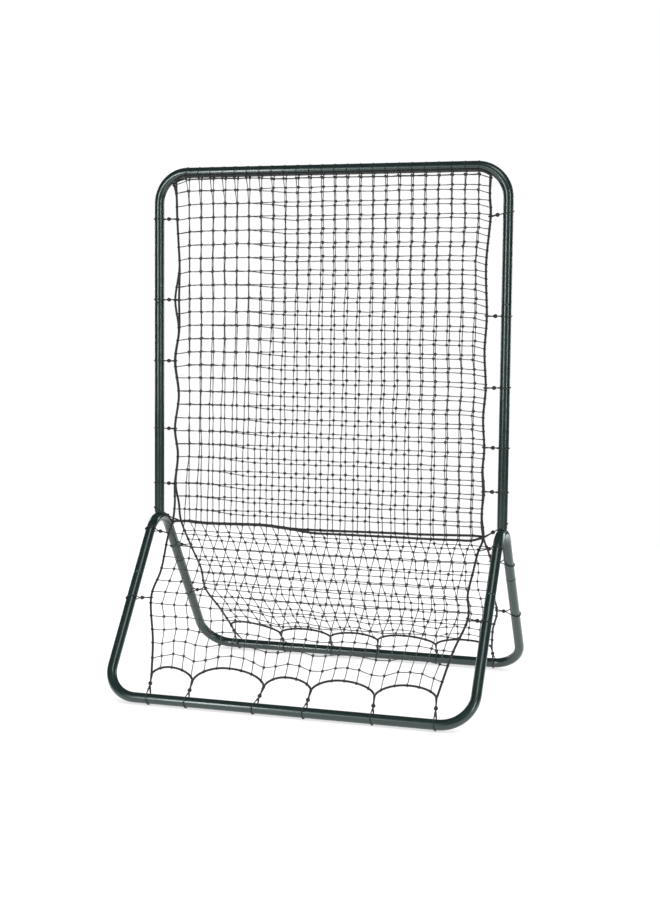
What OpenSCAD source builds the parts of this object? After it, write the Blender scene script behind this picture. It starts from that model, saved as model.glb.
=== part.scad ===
// Pitch back rebounder: two upright nets on a slip-jointed tube stand, each running down to its
// own foot bar. Millimetres, +Z up, front towards -Y, origin on the ground midway between the feet.

/* [Frame] */
// Overall height, to the top of the top bar
frame_h = 1592; // [1400:1:1750]
// Width between the centre lines of the two posts
frame_w = 1100; // [950:1:1300]
// Outside diameter of the tube
tube_d = 30; // [26:0.5:34]
// Wall of the tube
tube_wall = 1.5; // [1.2:0.1:2]
// Leg length of the three U frames, from the bar's centre line to the open ends
leg_len = 400; // [320:1:460]
// Bend radius of the U frames' corners, at the centre line
corner_r = 95; // [75:1:120]

/* [Stand] */
// Distance between the centre lines of the two foot bars
foot_spread = 794; // [650:1:950]
// Height at which the lines of the front and rear legs would meet
apex_z = 563; // [503:1:653]
// Bend radius of the wishbones' crowns, at the centre line
crown_r = 90; // [60:1:105]

/* [Slip joints] */
// Length of each swaged spigot inside the next tube
spigot_len = 60; // [45:1:80]
// Radial clearance of a spigot in the tube over it
joint_fit = 0.1; // [0.05:0.01:0.2]
// Length of the taper between a tube and its spigot
swage_len = 3; // [2:0.5:6]
// Distance from a slip joint to the middle of its button
button_inset = 30; // [20:1:35]

/* [Snap buttons] */
// Diameter of a snap button's head
button_d = 7.8; // [6:0.1:9]
// Radial clearance of a button in its holes
button_fit = 0.1; // [0.05:0.01:0.3]
// Height that a button stands above the tube
button_proud = 2.8; // [2:0.1:4]
// Radius of a button's domed top
dome_r = 6; // [5:0.5:9]
// Width of the spring strip
strip_w = 7; // [5:0.5:9]
// Thickness of the spring strip
strip_t = 0.8; // [0.6:0.1:1.2]
// Length of the spring strip from the button to its bend
strip_len = 24; // [18:1:30]
// Bend radius of the spring strip, at its middle
strip_bend_r = 3.5; // [2.5:0.1:4]
// Angle between the two legs of the spring strip
strip_splay = 18; // [10:1:20]

/* [Nets] */
// Distance between the front net and the rear net
net_gap = 16; // [12:1:24]
// Distance from a post's centre line to a net's border where it is tied
side_gap = 56; // [50:1:70]
// Cells across each net
net_cols = 17; // [8:1:17]
// Rows of cells above the waist
upper_rows = 17; // [8:1:17]
// Rows of cells below the waist
lower_rows = 8; // [4:1:9]
// Thickness of the net's twine
strand_d = 2.2; // [1.6:0.1:3]
// How much lower the front net's rows hang than the rear net's
row_offset = 10; // [0:1:20]
// Diameter of the border and junction cords
border_d = 4; // [3:0.5:6]
// Depth that the side borders draw in between two ties
border_pull = 11; // [0:1:20]
// Depth of the scallops along the bottom border
scallop = 26; // [10:1:40]
// Distance from a foot bar's centre line to the bottom border where it is tied
bottom_gap = 77; // [68:1:100]
// Depth of the waist below the centre line of the crowns
waist_drop = 13; // [5:1:30]

/* [Ties] */
// Thickness of the elastic tie cord
tie_d = 3; // [2:0.5:4]
// Diameter of the tie balls
ball_d = 10; // [8:0.5:14]
// Distance from a tube's centre line to the balls of its ties
ball_offset = 32; // [30:0.5:34]
// Distance from a net's bottom border to the balls of the foot ties
foot_ball_drop = 26; // [18:1:32]
// Height of the waist ties' loops above the crowns
waist_tie_lift = 5; // [4:1:15]
// Height of the waist ties' hooks above the waist
waist_hook_lift = 12; // [8:1:20]
// Clearance along a tube between a tie and a snap button
button_room = 4; // [2:0.5:10]
// Clearance between cords and what they lie on
soft_gap = 0.3; // [0.2:0.05:0.5]

/* [Hidden] */
$fn = 48;

LEFT = -1;
RIGHT = 1;
FRONT = -1;
REAR = 1;
CORD_SIDES = 8;
PAST = 1; // how far a cutting shape runs past what it cuts
run_slim = 0.05; // how much slimmer a straight run is than the bend it is welded to
run_lap = 0.3; // how far a straight run laps into a bend
button_seat = 1; // how far a button's foot stands inside the bore of its spigot
strip_past = 1; // how far a spring strip runs past its button

frame_green = [0.17, 0.20, 0.19];
steel = [0.70, 0.71, 0.72];
twine = [0.10, 0.10, 0.11];
elastic = [0.07, 0.07, 0.07];
ball_black = [0.05, 0.05, 0.05];

// Where the ties sit along what they hold, as fractions of that length
LEFT_POST_TIES = [0.11, 0.27, 0.465, 0.64, 0.87];
RIGHT_POST_TIES = [0.125, 0.245, 0.41, 0.60, 0.875];
FRONT_LEG_TIES = [0.17, 0.53];
REAR_LEG_TIES = [0.31, 0.635];
FRONT_FOOT_TIES = [-0.76, -0.52, -0.14, 0.13, 0.485, 0.805];
REAR_FOOT_TIES = [-0.775, -0.475, -0.16, 0.13, 0.495, 0.835];

// Tube sections
bore_d = tube_d - 2 * tube_wall;
spigot_d = bore_d - 2 * joint_fit;
spigot_bore = spigot_d - 2 * tube_wall;

// Heights and slopes of the frame
half_w = frame_w / 2;
top_z = frame_h - tube_d / 2;
foot_z = tube_d / 2 + tie_d + soft_gap;
lean = atan2(foot_spread / 2, apex_z - foot_z);
slope_len = norm([foot_spread / 2, apex_z - foot_z]);
arc_z = apex_z - crown_r / sin(lean);
crown_z = arc_z + crown_r;
crown_top = crown_z + tube_d / 2;
post_top = top_z - leg_len;
arc_end = crown_r / tan(lean);
leg_joint = slope_len - leg_len;

// Button places, measured outwards from the tube's centre line
button_top = tube_d / 2 + button_proud;
button_base = spigot_bore / 2 - button_seat;
bend_mid = button_base - strip_t / 2 - strip_bend_r;
strip_tail = button_d / 2 + strip_past;

// Net outline
tie_x = half_w - side_gap;
waist_z = crown_z - waist_drop;
bar_half = half_w - corner_r;
nest = sqrt(pow((tube_d + border_d) / 2 + soft_gap, 2) - pow(net_gap / 2, 2));
nest_r = corner_r - nest;
nest_z = top_z - nest;
cord_clear = border_d / 2 + soft_gap;
hook_r = (border_d + tie_d) / 2 + soft_gap;
hook_reach = hook_r + tie_d / 2 + soft_gap;
hook_flat = (border_d + tie_d) / 2;
bar_loop_r = (tube_d + tie_d) / 2 + soft_gap;
cell_w = 2 * tie_x / net_cols;
foot_ball_offset = bottom_gap - foot_ball_drop;
tie_room = (button_d + tie_d) / 2 + button_room;
strand_half = (tie_d + soft_gap) / 2;
ball_clear = (ball_d + soft_gap) / 2;

// ---------------------------------------------------------------- vectors
function unit(v) = v / norm(v);
function last(list) = list[len(list) - 1];

// A frame at a point, its X along one direction and its Z as near as can be to another
function frame_at(origin, along, out) =
    let (x = unit(along), y = unit(cross(out, x)), z = cross(x, y))
    [[x[0], y[0], z[0], origin[0]],
     [x[1], y[1], z[1], origin[1]],
     [x[2], y[2], z[2], origin[2]],
     [0, 0, 0, 1]];

// ---------------------------------------------------------------- tubes
module tube_section() {
    difference() {
        circle(d = tube_d);
        circle(d = bore_d);
    }
}

module straight_tube(length) {
    linear_extrude(length) tube_section();
}

// A bend in the XY plane, from the X axis round to the angle
module tube_bend(radius, angle) {
    rotate_extrude(angle = angle) translate([radius, 0]) tube_section();
}

// A tube up the Z axis that tapers to a spigot at the joint. Its lower end can be thinned a little
// and lap into the wall of a bend below it
module swaged_tube(joint, lap = 0) {
    slim = lap > 0 ? run_slim : 0;
    rotate_extrude() polygon([
        [bore_d / 2 + slim, -lap],
        [tube_d / 2 - slim, -lap],
        [tube_d / 2 - slim, joint - swage_len],
        [spigot_d / 2, joint],
        [spigot_d / 2, joint + spigot_len],
        [spigot_bore / 2, joint + spigot_len],
        [spigot_bore / 2, joint],
        [bore_d / 2 + slim, joint - swage_len]
    ]);
}

// A button's hole, out of the Z axis towards +Y or -Y
module button_hole(height, side) {
    translate([0, 0, height]) rotate([-90 * side, 0, 0])
        cylinder(d = button_d + 2 * button_fit, h = tube_d);
}

// The U frame, its bar along X and its legs up Z, with the holes towards +Y
module u_frame() {
    color(frame_green) difference() {
        union() {
            translate([-bar_half, 0, 0]) rotate([0, 90, 0]) straight_tube(2 * bar_half);
            for (side = [LEFT, RIGHT]) {
                translate([side * bar_half, 0, corner_r]) rotate([90, 0, 0])
                    rotate([0, 0, side == RIGHT ? -90 : 180]) tube_bend(corner_r, 90);
                translate([side * half_w, 0, corner_r]) straight_tube(leg_len - corner_r);
            }
        }
        for (side = [LEFT, RIGHT])
            translate([side * half_w, 0, 0]) button_hole(leg_len - button_inset, 1);
    }
}

module top_frame() {
    translate([0, 0, top_z]) rotate([0, 180, 0]) u_frame();
}

module foot_frame(end) {
    translate([0, end * foot_spread / 2, foot_z]) rotate([end * lean, 0, 0]) u_frame();
}

module post(side) {
    color(frame_green) translate([side * half_w, 0, crown_top]) difference() {
        swaged_tube(post_top - crown_top);
        button_hole(button_inset, 1);
        button_hole(post_top - crown_top + button_inset, 1);
    }
}

// A leg of a wishbone, from the end of the crown's bend down to the foot frame
module wishbone_leg(end) {
    translate([0, end * arc_end * sin(lean), apex_z - arc_end * cos(lean)])
        rotate([180 + end * lean, 0, 0]) difference() {
            swaged_tube(leg_joint - arc_end, run_lap);
            button_hole(leg_joint - arc_end + button_inset, -1);
        }
}

// The stub on the crown, cut to the curve of the tube that it is welded to
module crown_stub() {
    difference() {
        translate([0, 0, crown_z]) cylinder(d = spigot_d, h = tube_d / 2 + spigot_len);
        translate([0, 0, crown_z]) cylinder(d = spigot_bore, h = tube_d / 2 + spigot_len + PAST);
        translate([0, 0, arc_z]) rotate([90, 0, 90]) rotate_extrude()
            translate([crown_r, 0]) circle(d = tube_d - tube_wall);
        button_hole(crown_top + button_inset, 1);
    }
}

module wishbone(side) {
    color(frame_green) translate([side * half_w, 0, 0]) {
        translate([0, 0, arc_z]) rotate([90, 0, 90]) rotate([0, 0, lean])
            tube_bend(crown_r, 180 - 2 * lean);
        wishbone_leg(FRONT);
        wishbone_leg(REAR);
        crown_stub();
    }
}

// ---------------------------------------------------------------- snap buttons
// Each slip joint: a point on the tube's centre line at the button, the way that the spigot
// points, and the way that the button faces
function leg_point(side, end, s) = [side * half_w, end * s * sin(lean), apex_z - s * cos(lean)];
function top_joint(side) = [[side * half_w, 0, post_top + button_inset], [0, 0, 1], [0, 1, 0]];
function crown_joint(side) = [[side * half_w, 0, crown_top + button_inset], [0, 0, 1], [0, 1, 0]];
function leg_joint_at(side, end) = [
    leg_point(side, end, leg_joint + button_inset),
    [0, end * sin(lean), -cos(lean)],
    [0, cos(lean), end * sin(lean)]
];

module snap_button(place) {
    color(steel) multmatrix(frame_at(place[0], place[1], place[2])) intersection() {
        translate([0, 0, button_base]) cylinder(d = button_d, h = button_top - button_base);
        translate([0, 0, button_top - dome_r]) sphere(r = dome_r);
    }
}

// The spring strip under a button: a flat leg, a bend towards the spigot's end and a splayed leg
module button_spring(place) {
    tail = strip_tail + strip_len;
    color(steel) multmatrix(frame_at(place[0], place[1], place[2]))
        rotate([90, 0, 0]) linear_extrude(strip_w, center = true) {
            translate([-strip_tail, button_base - strip_t]) square([tail, strip_t]);
            translate([strip_len, bend_mid]) difference() {
                circle(r = strip_bend_r + strip_t / 2);
                circle(r = strip_bend_r - strip_t / 2);
                translate([-tube_d, -tube_d / 2]) square(tube_d);
            }
            translate([strip_len, bend_mid - strip_bend_r]) rotate(180 + strip_splay)
                translate([0, -strip_t / 2]) square([tail / cos(strip_splay), strip_t]);
        }
}

// ---------------------------------------------------------------- net outlines
function net_y(end) = end * net_gap / 2;
// A tie that would lie on a button goes beside it
function clear_of(p, button) =
    abs(p - button) < tie_room ? button + (p < button ? -tie_room : tie_room) : p;
function post_tie_z(side) = [
    for (f = side == LEFT ? LEFT_POST_TIES : RIGHT_POST_TIES)
        let (z = clear_of(waist_z + f * (top_z - waist_z), crown_top + button_inset))
        clear_of(z, post_top + button_inset)
];
function leg_tie_s(end) = [
    for (f = end == FRONT ? FRONT_LEG_TIES : REAR_LEG_TIES)
        max(clear_of(f * slope_len, leg_joint + button_inset), arc_end + tie_d)
];
function foot_tie_x(end) = [for (f = end == FRONT ? FRONT_FOOT_TIES : REAR_FOOT_TIES) f * half_w];

// The lower panel's line in the YZ plane: from the waist to where the bottom border is tied
function waist_point(end) = [0, net_y(end), waist_z];
function bottom_point(end) = leg_point(0, end, slope_len - bottom_gap);
function lower_dir(end) = unit(bottom_point(end) - waist_point(end));
function lower_len(end) = norm(bottom_point(end) - waist_point(end));
function lower_point(end, x, t) = [x, 0, 0] + waist_point(end) + t * lower_dir(end);
// How far down the lower panel the point level with a place on the leg lies
function leg_tie_t(end, s) = (leg_point(0, end, s) - waist_point(end)) * lower_dir(end);

// Side borders as pairs of [height or distance down, distance out]: drawn in between ties
function scalloped(start, places) = concat([[start, tie_x]], [
    for (i = [0 : len(places) - 1])
        each [
            [((i == 0 ? start : places[i - 1]) + places[i]) / 2, tie_x - border_pull],
            [places[i], tie_x]
        ]
]);
corner_angles = [75, 58.5];
corner_points = [for (a = corner_angles) [bar_half + nest_r * cos(a), top_z - corner_r + nest_r * sin(a)]];
function upper_side(side) = concat(
    scalloped(waist_z, post_tie_z(side)),
    [for (i = [len(corner_points) - 1 : -1 : 0]) [corner_points[i][1], corner_points[i][0]]]
);
function lower_side(side, end) = concat(
    scalloped(0, [for (s = leg_tie_s(end)) leg_tie_t(end, s)]),
    [[lower_len(end), side * (side == LEFT ? foot_tie_x(end)[0] : last(foot_tie_x(end))) + hook_flat]]
);
top_line = concat(
    [for (i = [len(corner_points) - 1 : -1 : 0]) [-corner_points[i][0], corner_points[i][1]]],
    [[-bar_half, nest_z], [bar_half, nest_z]],
    corner_points
);
// The bottom border, as [x, distance down]: flat where a tie hooks it, an arc up between two ties
scallop_steps = 4;
function bottom_line(end) = let (x = foot_tie_x(end), low = lower_len(end)) concat(
    [[x[0] - hook_flat, low]],
    [
        for (i = [0 : len(x) - 2], k = [0 : scallop_steps])
            let (u = k / scallop_steps, from = x[i] + hook_flat, to = x[i + 1] - hook_flat)
            [from + u * (to - from), low - scallop * 4 * u * (1 - u)]
    ],
    [[last(x) + hook_flat, low]]
);
function bottom_edge(end) = let (left = lower_side(LEFT, end), right = lower_side(RIGHT, end)) concat(
    [[-left[len(left) - 2][1], left[len(left) - 2][0]]],
    bottom_line(end),
    [[right[len(right) - 2][1], right[len(right) - 2][0]]]
);

// ---------------------------------------------------------------- nets
// How far short of a sloping border a strand stops
function slope_at(p, table) = let (d = strand_d)
    max(abs(lookup(p + d, table) - lookup(p, table)), abs(lookup(p, table) - lookup(p - d, table))) / d;
function near(p, places) =
    len([for (q = places) if (abs(p - q) < (tie_d + strand_d) / 2 + soft_gap) q]) > 0;
function stop_short(p, table, ties) = let (m = slope_at(p, table))
    max(cord_clear * sqrt(1 + m * m) + m * strand_d / 2, near(p, ties) ? hook_reach : 0);

module strand_up(x, low, high) {
    translate([x - strand_d / 2, low]) square([strand_d, high - low]);
}

module strand_across(level, left, right) {
    translate([-left, level - strand_d / 2]) square([left + right, strand_d]);
}

module upper_net(end) {
    left = upper_side(LEFT);
    right = upper_side(RIGHT);
    left_ties = post_tie_z(LEFT);
    right_ties = post_tie_z(RIGHT);
    row_h = (nest_z - waist_z) / upper_rows;
    shift = end == FRONT ? -row_offset : 0;
    color(twine) translate([0, net_y(end), 0]) rotate([90, 0, 0])
        linear_extrude(strand_d, center = true) {
            for (i = [1 : net_cols - 1]) {
                x = -tie_x + i * cell_w;
                high = lookup(x, top_line) - stop_short(x, top_line, []);
                strand_up(x, waist_z + cord_clear, high);
            }
            for (j = [1 : upper_rows - 1]) {
                z = waist_z + j * row_h + shift;
                strand_across(
                    z,
                    lookup(z, left) - stop_short(z, left, left_ties),
                    lookup(z, right) - stop_short(z, right, right_ties)
                );
            }
        }
}

module lower_net(end) {
    left = lower_side(LEFT, end);
    right = lower_side(RIGHT, end);
    ties = [for (s = leg_tie_s(end)) leg_tie_t(end, s)];
    edge = bottom_edge(end);
    row_h = lower_len(end) / lower_rows;
    along = lower_dir(end);
    start = waist_point(end);
    color(twine) multmatrix([
        [1, 0, 0, 0],
        [0, along[1], -along[2], start[1]],
        [0, along[2], along[1], start[2]],
        [0, 0, 0, 1]
    ]) linear_extrude(strand_d, center = true) {
        for (i = [1 : net_cols - 1]) {
            x = -tie_x + i * cell_w;
            strand_up(x, cord_clear, lookup(x, edge) - stop_short(x, edge, foot_tie_x(end)));
        }
        for (j = [1 : lower_rows - 1]) {
            t = j * row_h;
            strand_across(
                t,
                lookup(t, left) - stop_short(t, left, ties),
                lookup(t, right) - stop_short(t, right, ties)
            );
        }
    }
}

// ---------------------------------------------------------------- border cords
// The border's route: up the left side, along the top, down the right side, round the bottom
function border_route(end) = let (
    y = net_y(end),
    left = upper_side(LEFT),
    right = upper_side(RIGHT),
    lower_left = lower_side(LEFT, end),
    lower_right = lower_side(RIGHT, end),
    bottom = bottom_line(end)
) concat(
    [for (p = left) [-p[1], y, p[0]]],
    [[-bar_half, y, nest_z], [bar_half, y, nest_z]],
    [for (i = [len(right) - 1 : -1 : 0]) [right[i][1], y, right[i][0]]],
    [for (i = [1 : len(lower_right) - 1]) lower_point(end, lower_right[i][1], lower_right[i][0])],
    [for (i = [len(bottom) - 2 : -1 : 1]) lower_point(end, bottom[i][0], bottom[i][1])],
    [for (i = [len(lower_left) - 1 : -1 : 1]) lower_point(end, -lower_left[i][1], lower_left[i][0])]
);

// A closed cord swept along a route, with mitred corners
module closed_cord(route, d) {
    n = len(route);
    points = [
        for (i = [0 : n - 1])
            let (
                into = unit(route[i] - route[(i + n - 1) % n]),
                away = unit(route[(i + 1) % n] - route[i]),
                bisector = unit(into + away),
                a = unit(cross(into, [0, 1, 0])),
                b = cross(into, a)
            )
            for (k = [0 : CORD_SIDES - 1])
                let (
                    turn = 360 * (k + 0.5) / CORD_SIDES,
                    side = d / 2 * (cos(turn) * a + sin(turn) * b)
                )
                route[i] + side - into * ((side * bisector) / (into * bisector))
    ];
    faces = [
        for (i = [0 : n - 1], k = [0 : CORD_SIDES - 1])
            let (
                j = (i + 1) % n,
                m = (k + 1) % CORD_SIDES,
                p = i * CORD_SIDES + k,
                q = i * CORD_SIDES + m,
                r = j * CORD_SIDES + k,
                s = j * CORD_SIDES + m
            )
            each [[p, q, s], [p, s, r]]
    ];
    polyhedron(points, faces);
}

module border_cord(end) {
    color(twine) closed_cord(border_route(end), border_d);
}

module junction_cord(end) {
    level = waist_z + border_d;
    half = min(lookup(level, upper_side(LEFT)), lookup(level, upper_side(RIGHT))) - cord_clear;
    color(twine) translate([-half, net_y(end), waist_z]) rotate([0, 90, 0])
        cylinder(d = border_d, h = 2 * half);
}

// ---------------------------------------------------------------- ties
// An arc of tie cord round a centre, from one angle to another
module tie_arc(centre, radius, from, to) {
    translate(centre) rotate([0, 0, from]) rotate_extrude(angle = to - from)
        translate([radius, 0]) circle(d = tie_d);
}

// A straight run of tie cord, a little slimmer than the arcs, into which its far end laps
module tie_run(start, angle, length) {
    translate(start) rotate([0, 0, angle]) rotate([0, 90, 0])
        cylinder(d = tie_d - 2 * run_slim, h = length + run_lap);
}

// A loop from a ball at the origin round one cord or tube, out along X
module ball_loop(reach, radius) {
    a = asin((radius - strand_half) / reach);
    start = [-strand_half * sin(a) + ball_clear * cos(a), strand_half * cos(a) + ball_clear * sin(a)];
    tie_arc([reach, 0, 0], radius, -90 - a, 90 + a);
    for (side = [-1, 1]) tie_run([start[0], side * start[1], 0], side * a, reach * cos(a) - ball_clear);
}

// A loop from a ball at the origin round the two nets' border cords
module ball_pair_loop(reach, radius) {
    half = net_gap / 2;
    far = norm([reach, half]);
    aim = atan2(half, reach);
    a = aim + asin((radius - strand_half) / far);
    for (side = [0, 1]) mirror([0, side, 0]) {
        tie_run(
            [-strand_half * sin(a) + ball_clear * cos(a), strand_half * cos(a) + ball_clear * sin(a), 0],
            a,
            far * cos(a - aim) - ball_clear
        );
        tie_arc([reach, half, 0], radius, 0, 90 + a);
    }
    tie_run([reach + radius, -half - run_lap, 0], 90, net_gap + run_lap);
}

// Each tie: a point on the tube's centre line, the tube's direction, the point on the border that
// it hooks, the border's direction, and how far its ball is from the tube's centre line
function post_tie(side, z) =
    [[side * half_w, 0, z], [0, 0, 1], [side * lookup(z, upper_side(side)), 0, z], [0, 0, 1], ball_offset];
function waist_tie(side) = let (z = waist_z + waist_hook_lift) [
    [side * half_w, 0, crown_top + waist_tie_lift],
    [0, 0, 1],
    [side * lookup(z, upper_side(side)), 0, z],
    [0, 0, 1],
    ball_offset
];
function leg_tie(side, end, s) = [
    leg_point(side, end, s),
    unit(leg_point(side, end, s) - leg_point(side, end, 0)),
    lower_point(end, side * tie_x, leg_tie_t(end, s)),
    lower_dir(end),
    ball_offset
];
function foot_tie(end, x) = [
    [x, end * foot_spread / 2, foot_z],
    [1, 0, 0],
    lower_point(end, x, lower_len(end)),
    [1, 0, 0],
    foot_ball_offset
];
function ball_place(tie) = tie[0] + tie[4] * unit(tie[2] - tie[0]);

// The cord of a tie: a loop round the tube and one round the border, from its ball
module tie_cord(tie, pair) {
    ball = ball_place(tie);
    to_net = unit(tie[2] - tie[0]);
    reach = norm(tie[2] - ball);
    tube_loop_r = bar_loop_r / norm(cross(to_net, tie[1]));
    net_loop_r = hook_r / norm(cross(to_net, tie[3]));
    multmatrix(frame_at(ball, -to_net, tie[1])) ball_loop(tie[4], tube_loop_r);
    multmatrix(frame_at(ball, to_net, tie[3])) {
        if (pair) ball_pair_loop(reach, net_loop_r);
        else ball_loop(reach, net_loop_r);
    }
}

module ball(place) {
    translate(place) sphere(d = ball_d);
}

module post_ties(side) {
    color(elastic) for (z = post_tie_z(side)) tie_cord(post_tie(side, z), true);
}

module post_balls(side) {
    color(ball_black) for (z = post_tie_z(side)) ball(ball_place(post_tie(side, z)));
}

module waist_ties() {
    color(elastic) for (side = [LEFT, RIGHT]) tie_cord(waist_tie(side), true);
}

module waist_balls() {
    color(ball_black) for (side = [LEFT, RIGHT]) ball(ball_place(waist_tie(side)));
}

module leg_ties(end) {
    color(elastic) for (side = [LEFT, RIGHT], s = leg_tie_s(end)) tie_cord(leg_tie(side, end, s), false);
}

module leg_balls(end) {
    color(ball_black) for (side = [LEFT, RIGHT], s = leg_tie_s(end))
        ball(ball_place(leg_tie(side, end, s)));
}

// The foot bars stand on the loops of their ties
module foot_ties(end) {
    color(elastic) for (x = foot_tie_x(end)) tie_cord(foot_tie(end, x), false);
}

module foot_balls(end) {
    color(ball_black) for (x = foot_tie_x(end)) ball(ball_place(foot_tie(end, x)));
}

// ---------------------------------------------------------------- the object
top_frame();
post(LEFT);  // left_post
post(RIGHT);  // right_post
wishbone(LEFT);  // left_wishbone
wishbone(RIGHT);  // right_wishbone
foot_frame(FRONT);  // front_foot_frame
foot_frame(REAR);  // rear_foot_frame
snap_button(top_joint(LEFT));  // left_top_button
snap_button(top_joint(RIGHT));  // right_top_button
snap_button(crown_joint(LEFT));  // left_crown_button
snap_button(crown_joint(RIGHT));  // right_crown_button
snap_button(leg_joint_at(LEFT, FRONT));  // left_front_leg_button
snap_button(leg_joint_at(RIGHT, FRONT));  // right_front_leg_button
snap_button(leg_joint_at(LEFT, REAR));  // left_rear_leg_button
snap_button(leg_joint_at(RIGHT, REAR));  // right_rear_leg_button
button_spring(top_joint(LEFT));  // left_top_spring
button_spring(top_joint(RIGHT));  // right_top_spring
button_spring(crown_joint(LEFT));  // left_crown_spring
button_spring(crown_joint(RIGHT));  // right_crown_spring
button_spring(leg_joint_at(LEFT, FRONT));  // left_front_leg_spring
button_spring(leg_joint_at(RIGHT, FRONT));  // right_front_leg_spring
button_spring(leg_joint_at(LEFT, REAR));  // left_rear_leg_spring
button_spring(leg_joint_at(RIGHT, REAR));  // right_rear_leg_spring
upper_net(FRONT);  // front_net_upper
lower_net(FRONT);  // front_net_lower
upper_net(REAR);  // rear_net_upper
lower_net(REAR);  // rear_net_lower
border_cord(FRONT);  // front_border_cord
border_cord(REAR);  // rear_border_cord
junction_cord(FRONT);  // front_junction_cord
junction_cord(REAR);  // rear_junction_cord
post_ties(LEFT);  // left_post_ties
post_ties(RIGHT);  // right_post_ties
waist_ties();
leg_ties(FRONT);  // front_leg_ties
leg_ties(REAR);  // rear_leg_ties
foot_ties(FRONT);  // front_foot_ties
foot_ties(REAR);  // rear_foot_ties
post_balls(LEFT);  // left_post_balls
post_balls(RIGHT);  // right_post_balls
waist_balls();
leg_balls(FRONT);  // front_leg_balls
leg_balls(REAR);  // rear_leg_balls
foot_balls(FRONT);  // front_foot_balls
foot_balls(REAR);  // rear_foot_balls
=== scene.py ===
"""Looks of the pitch back rebounder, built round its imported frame. Metres, +Z up, front towards -Y."""

import math
import random

import bpy
from mathutils import Matrix, Vector, noise


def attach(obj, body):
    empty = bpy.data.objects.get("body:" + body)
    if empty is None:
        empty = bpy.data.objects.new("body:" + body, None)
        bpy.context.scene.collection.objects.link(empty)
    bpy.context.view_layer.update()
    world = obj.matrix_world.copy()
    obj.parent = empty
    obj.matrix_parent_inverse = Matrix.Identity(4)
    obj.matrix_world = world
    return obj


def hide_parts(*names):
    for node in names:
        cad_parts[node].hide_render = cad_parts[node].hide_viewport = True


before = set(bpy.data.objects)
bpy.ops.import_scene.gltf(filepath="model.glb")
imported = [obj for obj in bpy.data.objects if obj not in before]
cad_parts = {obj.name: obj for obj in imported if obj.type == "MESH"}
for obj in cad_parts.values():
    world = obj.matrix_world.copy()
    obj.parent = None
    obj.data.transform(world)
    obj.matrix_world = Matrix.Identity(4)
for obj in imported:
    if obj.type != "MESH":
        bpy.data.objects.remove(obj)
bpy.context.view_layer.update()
scene = bpy.context.scene
rng = random.Random(11)

# ---------------------------------------------------------------- sizes, as in the part's source
HALF_W = 0.550  # from the middle to a post's centre line
TUBE_R = 0.015
TOP_Z = 1.577  # centre line of the top bar
FOOT_Z = 0.0183  # centre line of the foot bars
FOOT_Y = 0.397
APEX_Z = 0.563  # where the centre lines of the front and rear legs meet
CROWN_TOP = 0.5152
CORNER_R = 0.095
BAR_HALF = HALF_W - CORNER_R  # half the straight part of a bar
WAIST_Z = 0.4872  # where each net bends
NET_Y = 0.008
BOTTOM_GAP = 0.077  # from the lower panel's end to the foot bar's centre line
LEAN = math.atan2(FOOT_Y, APEX_Z - FOOT_Z)
SLOPE_LEN = math.hypot(FOOT_Y, APEX_Z - FOOT_Z)

# ---------------------------------------------------------------- sizes of the nets, cords and ties
TWINE_R = 0.0014
STRAND_R = TWINE_R * 1.07
STRAND_FLAT = 0.86
STRAND_STEP = 0.006
STRAND_TWIST = math.radians(28) / STRAND_STEP
KNOT_TWINE_R = TWINE_R * 1.60
LACING_R = TWINE_R * 0.72
BAR_TURN_R = TWINE_R * 0.45
BORDER_R = 0.0034
JUNCTION_R = BORDER_R * 1.08
TIE_R = 0.0016
FOOT_TIE_R = 0.0027
BALL_R = 0.0062

# Along the top the border cords lie against the lower half of the bar, pressed a little into each other
NEST_Y = 0.0135
NEST_REACH = TUBE_R + BORDER_R - 0.0003
NEST_DROP = math.sqrt(NEST_REACH ** 2 - NEST_Y ** 2)
NEST_Z = TOP_Z - NEST_DROP
NEST_R = CORNER_R - NEST_DROP

FRONT, REAR = ENDS = -1, 1
LEFT, RIGHT = SIDES = -1, 1
END_NAME = {FRONT: "front", REAR: "rear"}
SIDE_NAME = {LEFT: "left", RIGHT: "right"}
COLUMNS = 25
UPPER_ROWS = 27
LOWER_ROWS = {FRONT: 12, REAR: 13}
UP = Vector((0, 0, 1))
ACROSS = Vector((1, 0, 0))


def leg_point(x, end, s):
    """A point on a leg's centre line, s down the slope from where the lines of both legs meet."""
    return Vector((x, end * s * math.sin(LEAN), APEX_Z - s * math.cos(LEAN)))


# ---------------------------------------------------------------- mesh making
def curve_through(points, step):
    """Points about a step apart on a smooth curve through the given ones."""
    out = []
    for i, (b, c) in enumerate(zip(points, points[1:])):
        a = points[i - 1] if i else b - (c - b)
        d = points[i + 2] if i + 2 < len(points) else c + (c - b)
        count = max(1, round((c - b).length / step))
        for k in range(count):
            t = k / count
            out.append(0.5 * (2 * b + (c - a) * t + (2 * a - 5 * b + 4 * c - d) * t * t
                              + (3 * b - a - 3 * c + d) * t * t * t))
    out.append(points[-1].copy())
    return out


def normal_to(direction):
    """Any direction square to the given one."""
    spare = Vector((0, 1, 0)) if abs(direction.y) < 0.9 else Vector((1, 0, 0))
    return (spare - direction * spare.dot(direction)).normalized()


def add_object(name, data):
    obj = bpy.data.objects.new(name, data)
    scene.collection.objects.link(obj)
    return obj


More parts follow.
